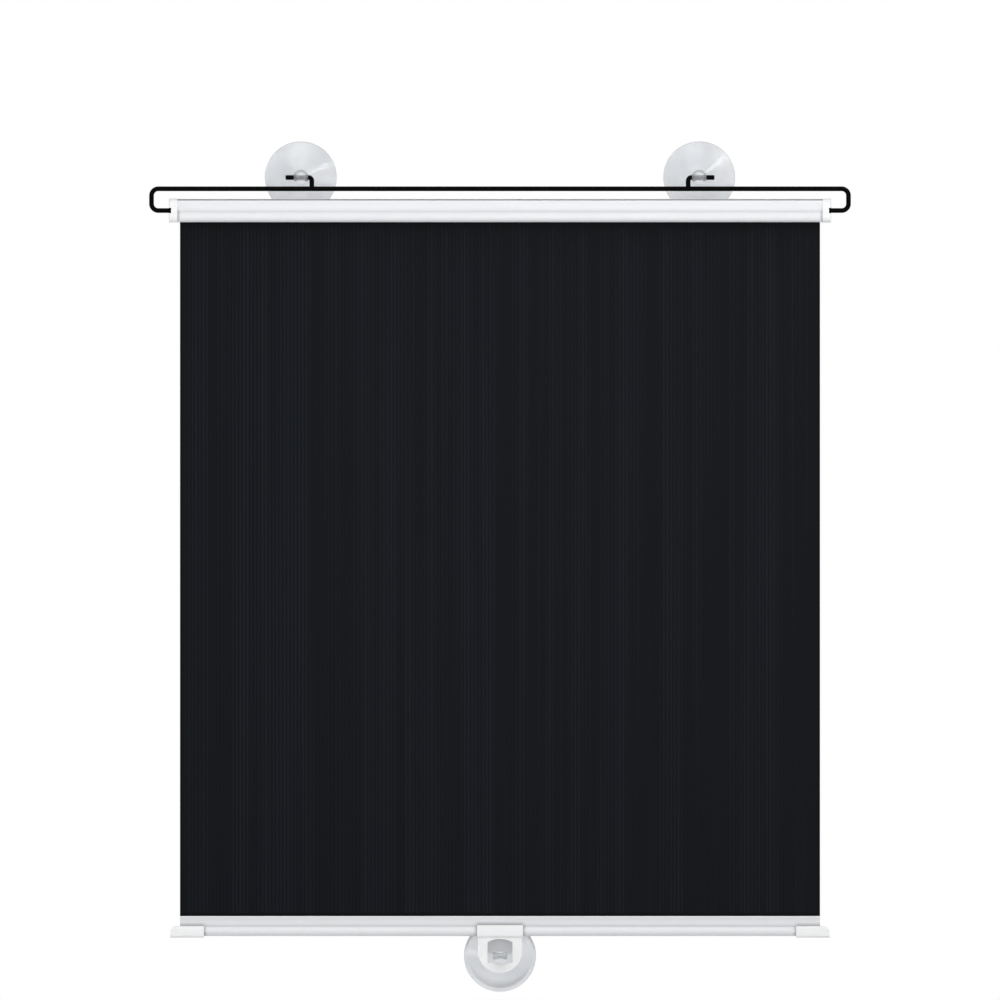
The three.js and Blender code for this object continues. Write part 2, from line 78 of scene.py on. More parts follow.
# Places that the frame gives, in millimetres
ROLLER_Y, ROLLER_Z = mm(joints["roller_turn"]["pos_m"])[1:]
CUP_X = mm(joints["cup_right_swing"]["pos_m"])[0]
housing_low, housing_high = map(mm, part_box("housing"))
cap_low, cap_high = map(mm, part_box("end_cap_right"))
wire_high = mm(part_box("hanger_wire")[1])
hook_low, hook_high = map(mm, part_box("hook_right"))
cup_low, cup_high = map(mm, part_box("suction_cup_right"))
lower_cup_low, lower_cup_high = map(mm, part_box("suction_cup_lower"))
fabric_low, fabric_high = map(mm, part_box("shade_fabric"))
rail_low, rail_high = map(mm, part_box("bottom_rail"))
tab_low, tab_high = map(mm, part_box("pull_tab"))
plug_low, plug_high = map(mm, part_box("rail_plug_right"))

# Sizes in millimetres, as in the part
WIRE_RADIUS = 1.5
WIRE_BEND = 4.2
WIRE_SIDES = 28
WIRE_TIP_DEPTH = 3.3
HOOK_BEND = 2.0
HOOK_WELD = 0.6
HOUSING_HALF = (housing_high[2] - housing_low[2]) / 2
HOUSING_FRONT = 6.9
HOUSING_REAR = housing_high[1] - ROLLER_Y
HOUSING_WALL = 0.8
HOUSING_CORNER = 2.2
HOUSING_SLOT = 5.3
HOUSING_LEDGE = 0.3
HOUSING_EDGE = 0.1
GROOVE_HEIGHT = 0.6
GROOVE_DEPTH = 0.9
UPPER_BULGE = 1.25
UPPER_CREST = 3.4
LOWER_TOP = -2.6
LOWER_BULGE = 0.15
LOWER_ROUNDING = 4.0
CAP_EDGE = 0.6
CAP_EASE = (0.1, 0.15)
CAP_FRONT_RADIUS = 4.0
CAP_REAR_RADIUS = 2.45
CAP_NOTCH = (1.4, 3.3)
CAP_HOLE = 3.6
CUP_LIP = 2.0
CUP_LIP_THICKNESS = 0.9
CUP_HOLLOW = 5.2
CUP_DISH = 8.5
CUP_NECK = 4.2
CUP_KNOB = 4.9
CUP_END = 18.2
CUP_HOLE = 1.8
CUP_SAG = 1.1
CUP_LOWER_EDGE = ((0.25, 0), (0.07, 0.07), (0, 0.25))
CUP_UPPER_EDGE = ((0, 0.3), (0.08, 0.1))
CUP_NECK_RINGS = (1.5, 2.8)
CUP_KNOB_FLAT = 0.45
FILM = 0.12
RIB = 0.1
RIB_PITCH = 2.3
RIB_STEPS = 6
HEM_WIDTH = 1.3
HEM_HEIGHT = 1.9
HEM_STEP = 0.2
HEM_EASE = 0.25
HEM_SHARE = 0.9
# Painted shadow of the housing on the film: where the band starts and where it fades out below the housing's
# mouth
SHADOW_BAND_START = 1.2
SHADOW_BAND_END = 5.5
BEND_DROP = 7.0
BEND_ROWS = 6
FILM_ROWS = 24
STRIP_HALF = 1.2
STRIP_LIP_HALF = 1.45
STRIP_LIP_HEIGHT = 1.1
STRIP_LIP_EDGE = 0.25
RAIL_SLIT_HALF = 0.4
BEAD = 3.15
BEAD_BORE = 2.2
SLEEVE_GAP = 0.3
SLEEVE_WALL = 0.7
SLEEVE_CORNER = 1.6
NOSE_CUT = 2.4
PLUG_EDGE = 0.22
TAB_WIDTH = 27.5
TAB_STAND_OFF = 8.9
TAB_THICKNESS = 2.5
TAB_RIM = 6.25
TAB_WINDOW = (15.6, 15.0)
TAB_ARCH = 1.9
TAB_FILLET = 1.6
TAB_EDGE = 0.55
TAB_WINDOW_CORNER = 1.0
RAIL_Y = (rail_low[1] + rail_high[1]) / 2
BEAD_Z = rail_low[2] + BEAD

# How far joined and cut shapes run past each other, and how far from a hollow the painted shade in the white
# plastic reaches
SPARE = 1.0
PAINTED_SHADE_REACH = 2.5

# The view is straight from the front: a square of 1000 rows, 625 mm wide, the cups' centres at row 177.5
VIEW_WIDTH = 625.0
PICTURE_ROWS = 1000.0
CUPS_ROW = 177.5


# Geometry helpers
def mesh_object(name, verts, faces):
    """An object from points in millimetres, its faces turned outwards."""
    mesh = bpy.data.meshes.new(name)
    mesh.from_pydata([tuple(c * MM for c in v) for v in verts], [], faces)
    mesh.validate()
    work = bmesh.new()
    work.from_mesh(mesh)
    bmesh.ops.recalc_face_normals(work, faces=work.faces)
    work.to_mesh(mesh)
    work.free()
    obj = bpy.data.objects.new(name, mesh)
    bpy.context.scene.collection.objects.link(obj)
    return obj


def new_piece(name, shape, material, body, replaced, smooth=40):
    """A piece from (points, faces), riding on a body and standing for a CAD node."""
    obj = mesh_object(name, *shape)
    for face in obj.data.polygons:
        face.use_smooth = True
    obj.data.set_sharp_from_angle(angle=math.radians(smooth))
    obj.data.materials.append(material)
    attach(obj, body)
    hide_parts(replaced)
    return obj


def mirrored(shape, sign):
    """The shape as it is for the right side, or turned over for the left."""
    verts, faces = shape
    return [(sign * x, y, z) for x, y, z in verts], faces


def sign_of(side):
    """Which way X runs outwards on a side."""
    return 1 if side == "right" else -1


def bevel(obj, width, segments=3, angle=35):
    """Rounds the sharp edges of a piece, width in millimetres."""
    modifier = obj.modifiers.new("edge_round", "BEVEL")
    modifier.width = width * MM
    modifier.segments = segments
    modifier.limit_method = "ANGLE"
    modifier.angle_limit = math.radians(angle)
    modifier.harden_normals = True


def shell(outline, stations):
    """Points and faces of a closed tube of copies of an outline: station turns it into 3-D points."""
    count = len(outline)
    verts = [point for station in stations for point in station(outline)]
    faces = []
    for ring in range(len(stations) - 1):
        for i in range(count):
            j = (i + 1) % count
            a = ring * count
            faces.append((a + i, a + j, a + count + j, a + count + i))
    last = (len(stations) - 1) * count
    faces.append(tuple(reversed(range(count))))
    faces.append(tuple(last + i for i in range(count)))
    return verts, faces


def along_x(outline, start, end, cuts=1):
    """A section of (y, z) points run along X."""
    steps = [start + (end - start) * i / cuts for i in range(cuts + 1)]
    return shell(outline, [lambda o, x=x: [(x, y, z) for y, z in o] for x in steps])


def along_y(outline, front, back):
    """An outline of (x, z) points run along Y."""
    return shell(outline, [lambda o, y=y: [(x, y, z) for x, z in o] for y in (front, back)])


def arc(cx, cy, radius, start, end, steps):
    """Points on a round arc, angles in degrees."""
    points = []
    for i in range(steps + 1):
        angle = math.radians(start + (end - start) * i / steps)
        points.append((cx + radius * math.cos(angle), cy + radius * math.sin(angle)))
    return points


def circle(cx, cy, radius, sides=24):
    """Points on a full circle, the first one not repeated."""
    return arc(cx, cy, radius, 0, 360 - 360 / sides, sides - 1)


def bezier(p0, p1, p2, p3, steps):
    """Points on a cubic curve."""
    points = []
    for i in range(steps + 1):
        t = i / steps
        weights = ((1 - t) ** 3, 3 * t * (1 - t) ** 2, 3 * t * t * (1 - t), t**3)
        points.append(tuple(sum(w * p[k] for w, p in zip(weights, (p0, p1, p2, p3))) for k in (0, 1)))
    return points


def quadratic(p0, p1, p2, steps):
    """Points on a quadratic curve."""
    third = [tuple(a + (b - a) * 2 / 3 for a, b in zip(end, p1)) for end in (p0, p2)]
    return bezier(p0, third[0], third[1], p2, steps)


def rounded_box(left, right, bottom, top, left_radius, right_radius, steps=8):
    """A rectangle with round corners."""
    return (
        arc(left + left_radius, bottom + left_radius, left_radius, 180, 270, steps)
        + arc(right - right_radius, bottom + right_radius, right_radius, 270, 360, steps)
        + arc(right - right_radius, top - right_radius, right_radius, 0, 90, steps)
        + arc(left + left_radius, top - left_radius, left_radius, 90, 180, steps)
    )


def tidy(outline, least=1e-4):
    """The outline without doubled points."""
    kept = []
    for point in outline:
        if not kept or math.dist(point, kept[-1]) > least:
            kept.append(point)
    if math.dist(kept[0], kept[-1]) <= least:
        kept.pop()
    return kept


def lathe_y(profile, segments, centre):
    """Points and faces of a profile of (radius, depth towards the viewer) turned about Y.
    The profile starts and ends on the axis."""
    inner = profile[1:-1]
    verts = []
    for radius, depth in inner:
        for i in range(segments):
            angle = 2 * math.pi * i / segments
            verts.append((radius * math.cos(angle), -depth, radius * math.sin(angle)))
    faces = []
    for ring in range(len(inner) - 1):
        for i in range(segments):
            j = (i + 1) % segments
            a = ring * segments
            faces.append((a + i, a + j, a + segments + j, a + segments + i))
    for end, ring in ((profile[0], 0), (profile[-1], len(inner) - 1)):
        verts.append((0, -end[1], 0))
        for i in range(segments):
            faces.append((ring * segments + i, ring * segments + (i + 1) % segments, len(verts) - 1))
    return [(x + centre[0], y + centre[1], z + centre[2]) for x, y, z in verts], faces


def bent_path(corners, bend, steps):
    """Stations of (point, direction) along straight runs with round bends."""
    corners = [Vector(c) for c in corners]
    runs = [(b - a).normalized() for a, b in zip(corners, corners[1:])]
    stations = [(corners[0], runs[0])]
    for i in range(1, len(runs)):
        hinge = runs[i - 1].cross(runs[i]).normalized()
        turn = runs[i - 1].angle(runs[i])
        inward = hinge.cross(runs[i - 1])
        centre = corners[i] - runs[i - 1] * bend * math.tan(turn / 2) + inward * bend
        for k in range(steps + 1):
            spin = Matrix.Rotation(turn * k / steps, 3, hinge)
            stations.append((centre - spin @ inward * bend, spin @ runs[i - 1]))
    stations.append((corners[-1], runs[-1]))
    return stations


def tip_rings(point, inward, direction, side, radius):
    """Rings that close a wire's free end, from its outermost to the first full one."""
    rings = []
    for k in range(5):
        share = math.sin(math.pi / 2 * (k + 1) / 6)
        rings.append((point + inward * (radius * (1 - share)), direction, side, radius * share))
    rings.append((point + inward * radius, direction, side, radius))
    return rings


def ring_points(ring, steps):
    """The points of one ring round a wire."""
    point, direction, side, size = ring
    other = direction.cross(side)
    points = []
    for i in steps:
        angle = 2 * math.pi * i / WIRE_SIDES
        points.append(tuple(point + (side * math.cos(angle) + other * math.sin(angle)) * size))
    return points


def swept_wire(stations, radius, round_ends=(True, True)):
    """Points and faces of a round wire along stations, with or without shaped tips."""
    normal = stations[0][1].orthogonal().normalized()
    rings = []
    for point, direction in stations:
        normal = (normal - direction * normal.dot(direction)).normalized()
        rings.append((point, direction, normal.copy(), radius))
    if round_ends[0]:
        point, direction, side, _ = rings[0]
        rings[:1] = tip_rings(point, direction, direction, side, radius)
    if round_ends[1]:
        point, direction, side, _ = rings[-1]
        rings[-1:] = reversed(tip_rings(point, -direction, direction, side, radius))
    return shell(range(WIRE_SIDES), [lambda steps, ring=ring: ring_points(ring, steps) for ring in rings])


def carved(name, base, steps):
    """Points and faces of a base shape after joins and cuts, given as (operation, shape) pairs."""
    obj = mesh_object(name, *base)
    for operation, (verts, faces) in steps:
        tool = mesh_object(name + "_tool", verts, faces)
        modifier = obj.modifiers.new("carve", "BOOLEAN")
        modifier.operation = operation
        modifier.object = tool
        modifier.solver = "EXACT"
        bpy.context.view_layer.update()
        result = bpy.data.meshes.new_from_object(obj.evaluated_get(bpy.context.evaluated_depsgraph_get()))
        obj.modifiers.clear()
        obj.data = result
        bpy.data.objects.remove(tool)
    verts = [tuple(c / MM for c in v.co) for v in obj.data.vertices]
    faces = [tuple(f.vertices) for f in obj.data.polygons]
    bpy.data.objects.remove(obj)
    return verts, faces


# Materials
def node_material(name):
    """A material with its Principled shader, and its node tree's shortcuts."""
    material = bpy.data.materials.new(name)
    material.use_nodes = True
    tree = material.node_tree
    shader = tree.nodes["Principled BSDF"]
    return material, tree, shader


def add(tree, kind, **inputs):
    """A new node with some of its inputs set."""
    node = tree.nodes.new(kind)
    for key, value in inputs.items():
        node.inputs[key.replace("_", " ")].default_value = value
    return node


def stretched_noise(tree, stretch, scale, detail=3.0, roughness=0.5):
    """Noise in object coordinates, stretched by a factor along each axis."""
    coordinates = tree.nodes.new("ShaderNodeTexCoord")
    mapping = tree.nodes.new("ShaderNodeMapping")
    mapping.inputs["Scale"].default_value = stretch
    noise = add(tree, "ShaderNodeTexNoise", Scale=scale, Detail=detail, Roughness=roughness)
    tree.links.new(coordinates.outputs["Object"], mapping.inputs["Vector"])
    tree.links.new(mapping.outputs["Vector"], noise.inputs["Vector"])
    return noise


def ramp(tree, source, low, high, start=0.3, end=0.7):
    """A colour or grey that goes from low to high as the source goes from start to end."""
    node = tree.nodes.new("ShaderNodeValToRGB")
    node.color_ramp.elements[0].position = start
    node.color_ramp.elements[1].position = end
    node.color_ramp.elements[0].color = low
    node.color_ramp.elements[1].color = high
    tree.links.new(source.outputs["Fac"], node.inputs["Fac"])
    return node


def grey(value):
    """A grey as a colour."""
    return (value, value, value, 1.0)


def bump(tree, shader, source, strength, distance):
    """A bump from a grey source, distance in millimetres."""
    node = add(tree, "ShaderNodeBump", Strength=strength, Distance=distance * MM)
    tree.links.new(source.outputs["Fac"], node.inputs["Height"])
    tree.links.new(node.outputs["Normal"], shader.inputs["Normal"])


def connect(tree, value, socket):
    """Feeds a socket from another one, or sets it to a fixed value."""
    if isinstance(value, bpy.types.NodeSocket):
        tree.links.new(value, socket)
    else:
        socket.default_value = value


def math_node(tree, operation, first, second):
    """One sum, product or comparison of two values, each a socket or a number."""
    node = tree.nodes.new("ShaderNodeMath")
    node.operation = operation
    connect(tree, first, node.inputs[0])
    connect(tree, second, node.inputs[1])
    return node.outputs[0]


def mixed(tree, first, second, factor, blend="MIX"):
    """Two colours mixed by a factor, each a socket or a fixed value."""
    node = tree.nodes.new("ShaderNodeMix")
    node.data_type = "RGBA"
    node.blend_type = blend
    connect(tree, factor, node.inputs["Factor"])
    connect(tree, first, node.inputs["A"])
    connect(tree, second, node.inputs["B"])
    return node.outputs["Result"]


def white_plastic(name, low, high, stretch, flow_scale, roughness, bump_height, painted_shade_depth):
    """White plastic with faint colour flow, painted shade in its hollows and creases, fine texture and a
    satin surface.
    """
    material, tree, shader = node_material(name)
    flow = stretched_noise(tree, stretch, flow_scale)
    tint = ramp(tree, flow, low, high)
    # Painted shade: an ambient occlusion term darkens the colour in hollows, creases and where parts meet
    occlusion_shade = add(tree, "ShaderNodeAmbientOcclusion", Distance=PAINTED_SHADE_REACH * MM)
    painted_shade_strength = math_node(tree, "POWER", occlusion_shade.outputs["AO"], painted_shade_depth)
    tint_with_painted_shade = mixed(tree, tint.outputs["Color"], painted_shade_strength, 1.0, "MULTIPLY")
    tree.links.new(tint_with_painted_shade, shader.inputs["Base Color"])
    grain = stretched_noise(tree, (1, 1, 1), 2600.0, 2.0)
    gloss = ramp(tree, grain, grey(roughness - 0.05), grey(roughness + 0.07))
    tree.links.new(gloss.outputs["Color"], shader.inputs["Roughness"])
    bump(tree, shader, grain, 0.25, bump_height)
    shader.inputs["IOR"].default_value = 1.46
    return material


def black_wire_material():
    """Steel wire with a thick black dip coat: dark, glossy, slightly uneven."""
    material, tree, shader = node_material("black_coated_wire")
    patches = stretched_noise(tree, (1, 1, 1), 90.0)
    tint = ramp(tree, patches, (0.0003, 0.0003, 0.0004, 1), (0.0009, 0.0009, 0.0012, 1))
    tree.links.new(tint.outputs["Color"], shader.inputs["Base Color"])
    gloss = ramp(tree, patches, grey(0.3), grey(0.42))
    tree.links.new(gloss.outputs["Color"], shader.inputs["Roughness"])
    dimples = stretched_noise(tree, (1, 1, 1), 700.0)
    bump(tree, shader, dimples, 0.3, 0.03)
    shader.inputs["Specular IOR Level"].default_value = 0.03
    return material


def clear_plastic_material():
    """Soft clear plastic: slightly milky, glossy, with faint moulded ripples."""
    material, tree, shader = node_material("clear_soft_plastic")
    cloud = stretched_noise(tree, (1, 1, 1), 60.0)
    tint = ramp(tree, cloud, (0.70, 0.72, 0.755, 1), (0.80, 0.815, 0.835, 1))
    tree.links.new(tint.outputs["Color"], shader.inputs["Base Color"])
    gloss = ramp(tree, cloud, grey(0.14), grey(0.2))
    tree.links.new(gloss.outputs["Color"], shader.inputs["Roughness"])
    ripple = stretched_noise(tree, (1, 1, 1), 220.0, 2.0)
    bump(tree, shader, ripple, 0.08, 0.015)
    shader.inputs["Transmission Weight"].default_value = 0.82
    shader.inputs["IOR"].default_value = 1.35
    return material


def film_noise(tree, place, stretch):
    """Noise over the film's own map, stretched by a factor across and down."""
    spread = tree.nodes.new("ShaderNodeMapping")
    spread.inputs["Scale"].default_value = stretch
    noise = add(tree, "ShaderNodeTexNoise", Scale=1.0, Detail=2.0)
    tree.links.new(place, spread.inputs["Vector"])
    tree.links.new(spread.outputs["Vector"], noise.inputs["Vector"])
    return noise


def film_ribs(tree, place):
    """How clearly a rib shows, from 0 to 1: even upright lines in loose groups."""
    lines = tree.nodes.new("ShaderNodeTexWave")
    lines.inputs["Scale"].default_value = math.pi / 10 / (RIB_PITCH * MM)
    tree.links.new(place, lines.inputs["Vector"])
    groups = film_noise(tree, place, (110.0, 1.2, 1.0))
    strong = ramp(tree, groups, grey(0.15), grey(1.0), 0.42, 0.62)
    return math_node(tree, "MULTIPLY", lines.outputs["Fac"], strong.outputs["Color"])


def film_hems_and_painted_shadow(tree, place):
    """How far a place belongs to the side hems, the lower hem or the painted shadow band below the housing,
    from 0 to 1.
    """
    parts = tree.nodes.new("ShaderNodeSeparateXYZ")
    tree.links.new(place, parts.inputs[0])
    half = (fabric_high[0] - fabric_low[0]) / 2
    reach = math_node(tree, "ABSOLUTE", parts.outputs["X"], 0.0)
    side = math_node(tree, "GREATER_THAN", reach, (half - HEM_WIDTH) * MM)
    hem_start = (fabric_high[2] - rail_high[2] - HEM_HEIGHT) * MM
    low = math_node(tree, "GREATER_THAN", parts.outputs["Y"], hem_start)
    mouth = (fabric_high[2] - housing_low[2]) * MM
    # Painted shadow: darkest just below the housing's mouth, fading out further down
    shadow_band = tree.nodes.new("ShaderNodeMapRange")
    shadow_band.inputs["From Min"].default_value = mouth + SHADOW_BAND_START * MM
    shadow_band.inputs["From Max"].default_value = mouth + SHADOW_BAND_END * MM
    shadow_band.inputs["To Min"].default_value = 1.0
    shadow_band.inputs["To Max"].default_value = 0.0
    tree.links.new(parts.outputs["Y"], shadow_band.inputs["Value"])
    hem = math_node(tree, "MAXIMUM", side, low)
    return math_node(tree, "MAXIMUM", hem, shadow_band.outputs["Result"])


def shade_material():
    """Black shade film: fine upright ribs in loose groups, fine cross picks, darker hems and a painted
    shadow of the housing along its top.
    Its UV map holds places on the film in metres, from the film's middle and from its top."""
    material, tree, shader = node_material("black_shade_film")
    film_map = tree.nodes.new("ShaderNodeUVMap")
    film_map.uv_map = "film"
    place = film_map.outputs["UV"]
    ground, rib = (0.0026, 0.0036, 0.0056, 1), (0.0074, 0.0092, 0.0136, 1)
    tint = mixed(tree, ground, rib, film_ribs(tree, place))
    # One dark colour for the darker hems and for the painted shadow below the housing
    colour = mixed(tree, tint, (0.0015, 0.0017, 0.0026, 1), film_hems_and_painted_shadow(tree, place))
    tree.links.new(colour, shader.inputs["Base Color"])
    picks = film_noise(tree, place, (260.0, 2400.0, 1.0))
    bump(tree, shader, picks, 0.4, 0.03)
    gloss = ramp(tree, picks, grey(0.38), grey(0.48))
    tree.links.new(gloss.outputs["Color"], shader.inputs["Roughness"])
    shader.inputs["Specular IOR Level"].default_value = 0.055
    return material


def steel_material(name, low, high, stretch, roughness):
    """Drawn or plated steel with fine lines along its length."""
    material, tree, shader = node_material(name)
    lines = stretched_noise(tree, stretch, 800.0, 4.0)
    tint = ramp(tree, lines, low, high)
    tree.links.new(tint.outputs["Color"], shader.inputs["Base Color"])
    gloss = ramp(tree, lines, grey(roughness - 0.06), grey(roughness + 0.1))
    tree.links.new(gloss.outputs["Color"], shader.inputs["Roughness"])
    bump(tree, shader, lines, 0.15, 0.02)
    shader.inputs["Metallic"].default_value = 1.0
    return material


EXTRUSION = white_plastic(
    "white_extruded_plastic",
    low=(0.80, 0.812, 0.838, 1),
    high=(0.83, 0.838, 0.86, 1),
    stretch=(0.02, 1, 1),
    flow_scale=420.0,
    roughness=0.34,
    bump_height=0.012,
    # strength of the painted shade in hollows
    painted_shade_depth=1.2,
)
MOULDING = white_plastic(
    "white_moulded_plastic",
    low=(0.895, 0.90, 0.91, 1),
    high=(0.92, 0.925, 0.932, 1),
    stretch=(1, 1, 1),
    flow_scale=110.0,
    roughness=0.42,
    bump_height=0.02,
    # strength of the painted shade in hollows
    painted_shade_depth=0.15,
)
BLACK_WIRE = black_wire_material()
CLEAR = clear_plastic_material()
SHADE = shade_material()
ZINC = steel_material(
    "zinc_plated_steel",
    low=(0.5, 0.51, 0.52, 1),
    high=(0.66, 0.67, 0.68, 1),
    stretch=(0.03, 1, 1),
    roughness=0.32,
)
SPRING = steel_material(
    "oiled_spring_steel",
    low=(0.28, 0.28, 0.3, 1),
    high=(0.45, 0.46, 0.48, 1),
    stretch=(1, 1, 1),
    roughness=0.3,
)


# Pieces
def housing_front():
    """The front of the housing's section as (y, z), from its top edge down to its underside."""
    half = HOUSING_HALF
    face = -HOUSING_FRONT
    crest = face - UPPER_BULGE
    band_top = half - HOUSING_LEDGE - GROOVE_HEIGHT
    band_edge = face - UPPER_BULGE / 4
    groove_floor = band_edge + GROOVE_DEPTH
    middle = (UPPER_CREST + LOWER_TOP) / 2
    points = [(HOUSING_EDGE + face, half), (face, half - HOUSING_EDGE), (face, half - HOUSING_LEDGE)]
    points += [(groove_floor, half - HOUSING_LEDGE), (groove_floor, band_top), (band_edge, band_top)]
    points += quadratic((band_edge, band_top), (crest, band_top), (crest, UPPER_CREST), 16)
    step = ((crest, UPPER_CREST), (crest, middle - HOUSING_CORNER), (face, middle))
    points += bezier(*step, (face, LOWER_TOP), 20)
    belly = (face - LOWER_BULGE, LOWER_TOP - HOUSING_CORNER)
    tuck = (face + LOWER_ROUNDING / 8, -half)
    points += bezier((face, LOWER_TOP), belly, tuck, (face + LOWER_ROUNDING, -half), 20)
    return points


def housing_outline():
    """The housing's section: a rear corner, the front with a groove and two bands, and the inside."""
    half = HOUSING_HALF
    inner_front = HOUSING_WALL - HOUSING_FRONT
    inner_rear = HOUSING_REAR - HOUSING_WALL
    inner_top = half - HOUSING_WALL
    radius = HOUSING_CORNER - HOUSING_WALL
    front_radius = HOUSING_CORNER
    outline = [(HOUSING_REAR, -half)]
    outline += arc(HOUSING_REAR - HOUSING_CORNER, half - HOUSING_CORNER, HOUSING_CORNER, 0, 90, 10)
    outline += housing_front()
    outline += [(inner_rear - HOUSING_SLOT, -half), (inner_rear - HOUSING_SLOT, -inner_top)]
    outline += arc(inner_front + front_radius, front_radius - inner_top, front_radius, 270, 180, 6)
    outline += arc(inner_front + front_radius, inner_top - front_radius, front_radius, 180, 90, 6)
    outline += arc(inner_rear - radius, inner_top - radius, radius, 90, 0, 6)
    outline += [(inner_rear, -half)]
    return tidy([(y + ROLLER_Y, z + ROLLER_Z) for y, z in outline])


def make_housing():
    """The housing, one section over its whole length."""
    shape = along_x(housing_outline(), housing_low[0], housing_high[0], 8)
    new_piece("housing_shell", shape, EXTRUSION, "cassette", "housing", 50)


def cap_ring(x, inset):
    """One ring of the cap's plate, set in from its outline."""
    half = (cap_high[2] - cap_low[2]) / 2
    front, rear = ROLLER_Y - cap_low[1], cap_high[1] - ROLLER_Y
    radii = (CAP_FRONT_RADIUS - inset, CAP_REAR_RADIUS - inset)
    box = rounded_box(inset - front, rear - inset, inset - half, half - inset, *radii, 10)
    return [(x, y + ROLLER_Y, z + ROLLER_Z) for y, z in tidy(box)]


def cap_plate(start, end):
    """The cap's plate, its inner edge eased and its outer edge rounded."""
    rings = [(start, CAP_EASE[1]), (start + CAP_EASE[0], 0.0), (end - CAP_EDGE, 0.0)]
    for k in range(1, 6):
        angle = math.radians(18 * k)
        rings.append((end - CAP_EDGE + CAP_EDGE * math.sin(angle), CAP_EDGE * (1 - math.cos(angle))))
    return shell(cap_ring(0, 0), [lambda o, x=x, i=i: cap_ring(x, i) for x, i in rings])


def cap_lip(start):
    """The cap's lip, which fits inside the housing."""
    inset = HOUSING_WALL + SLEEVE_GAP
    box = rounded_box(
        ROLLER_Y + inset - HOUSING_FRONT,
        ROLLER_Y + HOUSING_REAR - inset,
        ROLLER_Z + inset - HOUSING_HALF,
        ROLLER_Z + HOUSING_HALF - inset,
        HOUSING_CORNER,
        HOUSING_CORNER - HOUSING_WALL,
    )
    return along_x(tidy(box), start - SPARE, start + SPARE)


def make_cap(side):
    """An end cap: a plate, a lip inside the housing, and a notch and a hole for the wire."""
    start, end = housing_high[0], cap_high[0]
    depth, height = CAP_NOTCH
    reach = WIRE_RADIUS + SLEEVE_GAP
    front = 2 * (cap_low[1] - ROLLER_Y)
    box = [(front, -height / 2), (reach, -height / 2), (reach, height / 2), (front, height / 2)]
    notch = along_x([(y + ROLLER_Y, z + ROLLER_Z) for y, z in box], end - depth, end + SPARE)
    hole = along_x(circle(ROLLER_Y, ROLLER_Z, reach), end - CAP_HOLE, end + SPARE)
    steps = [("UNION", cap_lip(start)), ("DIFFERENCE", notch), ("DIFFERENCE", hole)]
    shape = mirrored(carved("cap", cap_plate(start, end), steps), sign_of(side))
    node = "end_cap_" + side
    new_piece(node + "_shell", shape, MOULDING, "cassette", node)


def make_wire():
    """The hanger wire, its ends turned in to the caps."""
    side = wire_high[0] - WIRE_RADIUS
    bar = wire_high[2] - WIRE_RADIUS
    tip = cap_high[0] - WIRE_TIP_DEPTH
    corners = [
        (-tip, ROLLER_Y, ROLLER_Z),
        (-side, ROLLER_Y, ROLLER_Z),
        (-side, ROLLER_Y, bar),
        (side, ROLLER_Y, bar),
        (side, ROLLER_Y, ROLLER_Z),
        (tip, ROLLER_Y, ROLLER_Z),
    ]
    shape = swept_wire(bent_path(corners, WIRE_BEND, 12), WIRE_RADIUS)
    new_piece("wire_frame", shape, BLACK_WIRE, "cassette", "hanger_wire")


def make_hook(side):
    """A hook with its weld on the hanger's bar."""
    sign = sign_of(side)
    leg = hook_low[0] + WIRE_RADIUS
    corners = [
        (sign * leg, ROLLER_Y, wire_high[2] - WIRE_RADIUS + HOOK_WELD),
        (sign * leg, ROLLER_Y, 0),
        (sign * hook_high[0], ROLLER_Y, 0),
    ]
    shape = swept_wire(bent_path(corners, HOOK_BEND, 10), WIRE_RADIUS, (False, True))
    new_piece("wire_hook_" + side, shape, BLACK_WIRE, "cassette", "hook_" + side)


def cup_profile():
    """The cup's profile as (radius, depth towards the viewer): hollow, lip, dish, neck and round knob."""
    outer = (cup_high[0] - cup_low[0]) / 2
    inner = outer - CUP_LIP
    knob_start = math.degrees(math.asin(CUP_NECK / CUP_KNOB))
    stand_off = -ROLLER_Y
    knob_end = math.degrees(math.acos((stand_off - CUP_END) / CUP_KNOB))
    profile = quadratic((0, CUP_HOLLOW), (inner / 2, CUP_HOLLOW), (inner, 0), 24)
    profile += [(outer - inset, depth) for inset, depth in CUP_LOWER_EDGE]
    profile += [(outer - inset, CUP_LIP_THICKNESS - drop) for inset, drop in CUP_UPPER_EDGE]
    dish_edge = (outer - CUP_UPPER_EDGE[0][1], CUP_LIP_THICKNESS)
    dish_sag = (inner / 2, CUP_DISH - CUP_HOLLOW / 2 - CUP_SAG)
    profile += quadratic(dish_edge, dish_sag, (CUP_NECK, CUP_DISH), 30)
    profile += [(CUP_NECK, CUP_DISH + rise) for rise in CUP_NECK_RINGS]
    ball = arc(0, 0, CUP_KNOB, knob_start, knob_end, 16)
    profile += [(radius, stand_off - along) for along, radius in ball]
    profile += [(CUP_KNOB * CUP_KNOB_FLAT, CUP_END), (0, CUP_END)]
    return tidy(profile)


def make_cup(name, node, body, centre):
    """A suction cup with the cross hole that a hook's arm passes through."""
    reach = CUP_KNOB + SPARE
    ring = circle(ROLLER_Y, centre[2], CUP_HOLE)
    hole = along_x(ring, centre[0] - reach, centre[0] + reach)
    shape = carved(name, lathe_y(cup_profile(), 96, centre), [("DIFFERENCE", hole)])
    new_piece(name, shape, CLEAR, body, node, 45)


def rib_depth(index, share):
    """How far a rib stands out at a share of its pitch. The ribs' strength drifts across the film."""
    strength = 0.62 + 0.2 * math.sin(index * 0.83) + 0.18 * math.sin(index * 0.29 + 1.7)
    return RIB * (1 - strength * (1 - abs(math.sin(math.pi * share)) ** 0.6))


